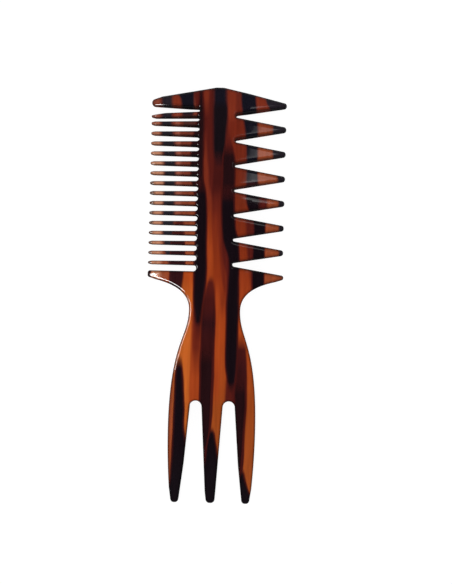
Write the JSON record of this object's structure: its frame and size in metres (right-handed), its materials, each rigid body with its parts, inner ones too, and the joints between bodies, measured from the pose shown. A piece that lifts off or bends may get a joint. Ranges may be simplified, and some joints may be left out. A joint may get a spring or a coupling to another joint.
{
  "type": "afro comb",
  "caption": "Flat afro comb sawn from polished tortoiseshell sheet, with fine teeth on one side, wide teeth on the other and a waisted handle that ends in lifting tines.",
  "frame": {"origin": "in the plane of the back face, under the middle of the comb's length and width", "axes": "+Y towards the crown of the head, +X towards the wide teeth, +Z out of the front face"},
  "size_m": [0.072, 0.22, 0.005],
  "materials": {
    "acetate": "polished tortoiseshell, dark streaks along the comb"
  },
  "bodies": {
    "root": {"comb": "acetate"}
  },
  "joints": []
}
